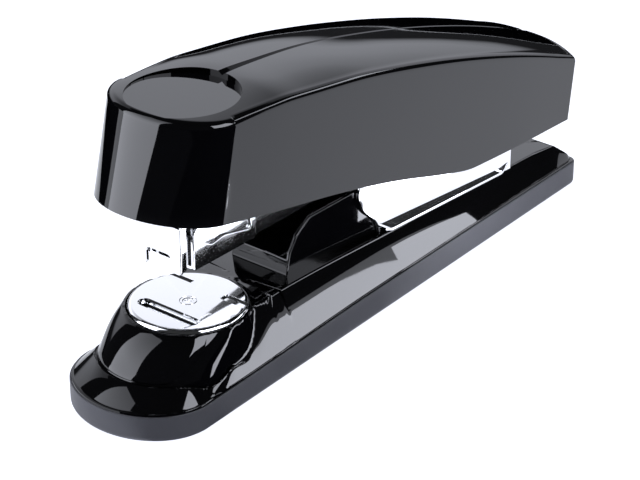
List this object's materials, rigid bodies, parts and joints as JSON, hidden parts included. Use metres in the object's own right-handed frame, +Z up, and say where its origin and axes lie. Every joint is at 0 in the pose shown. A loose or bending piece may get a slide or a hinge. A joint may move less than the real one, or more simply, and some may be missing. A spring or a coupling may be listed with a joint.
{
  "type": "desk stapler",
  "caption": "Full-strip desk stapler with a wide gloss black handle, chrome magazine and hinge bracket, and a round turning flat-clinch anvil.",
  "frame": {"origin": "on the table, under the middle of the base", "axes": "+X to the rear (the anvil is towards -X), +Y to the side, +Z up"},
  "size_m": [0.189, 0.0412, 0.0808],
  "materials": {
    "sole_grey": "fine moulded texture, dark grey",
    "pad_rubber": "matt rubber",
    "gloss_black": "high gloss piano black",
    "chrome": "bright nickel chrome plating",
    "steel": "bright rolled steel",
    "spring_steel": "drawn spring wire",
    "black_plastic": "satin black moulding",
    "zinc": "zinc plated fastener"
  },
  "bodies": {
    "base": {"base_sole": "sole_grey", "grip_pads": "pad_rubber", "base_cover": "gloss_black", "base_plate": "steel", "base_screws": "zinc", "nose_cap": "gloss_black", "magazine_well": "gloss_black", "hinge_bracket": "chrome", "bracket_screws": "zinc", "pivot_pin": "steel", "pin_rings": "steel", "return_spring": "spring_steel", "clincher_bar": "steel"},
    "anvil_plunger": {"anvil_carrier": "black_plastic", "anvil_spring": "spring_steel"},
    "anvil": {"anvil_disc": "chrome", "anvil_rivet": "chrome"},
    "magazine": {"magazine_channel": "chrome", "staple_rail": "steel", "front_guide": "chrome", "magazine_rivets": "steel", "rod_holder": "steel", "pusher_rod": "steel", "pusher_spring": "spring_steel"},
    "pusher": {"pusher": "black_plastic"},
    "handle": {"handle_cover": "gloss_black", "lever_frame": "steel", "driver_blade": "steel", "driver_rivets": "steel", "handle_spring": "spring_steel", "handle_screws": "zinc"}
  },
  "joints": [
    {"name": "anvil_press", "type": "slide", "parent": "base", "child": "anvil_plunger", "axis": [0, 0, 1], "range_m": [-0.002, 0], "stiffness_N_per_m": 2000, "springref_m": 0.001, "deforming": ["anvil_spring"]},
    {"name": "anvil_turn", "type": "hinge", "parent": "anvil_plunger", "child": "anvil", "pos_m": [-0.0609, 0, 0.022], "axis": [0, 0, 1], "range_deg": [0, 180]},
    {"name": "magazine_swing", "type": "hinge", "parent": "base", "child": "magazine", "pos_m": [0.0561, 0, 0.0424], "axis": [0, -1, 0], "range_deg": [0, 5.6], "stiffness_Nm_per_rad": 2, "springref_deg": -8.59, "deforming": ["return_spring"]},
    {"name": "pusher_slide", "type": "slide", "parent": "magazine", "child": "pusher", "axis": [1, 0, 0], "range_m": [0, 0.085], "stiffness_N_per_m": 20, "springref_m": -0.05, "deforming": ["pusher_spring"]},
    {"name": "handle_press", "type": "hinge", "parent": "magazine", "child": "handle", "pos_m": [0.0561, 0, 0.0424], "axis": [0, -1, 0], "range_deg": [-30, 5], "stiffness_Nm_per_rad": 1, "springref_deg": -5.73, "deforming": ["handle_spring"]}
  ]
}
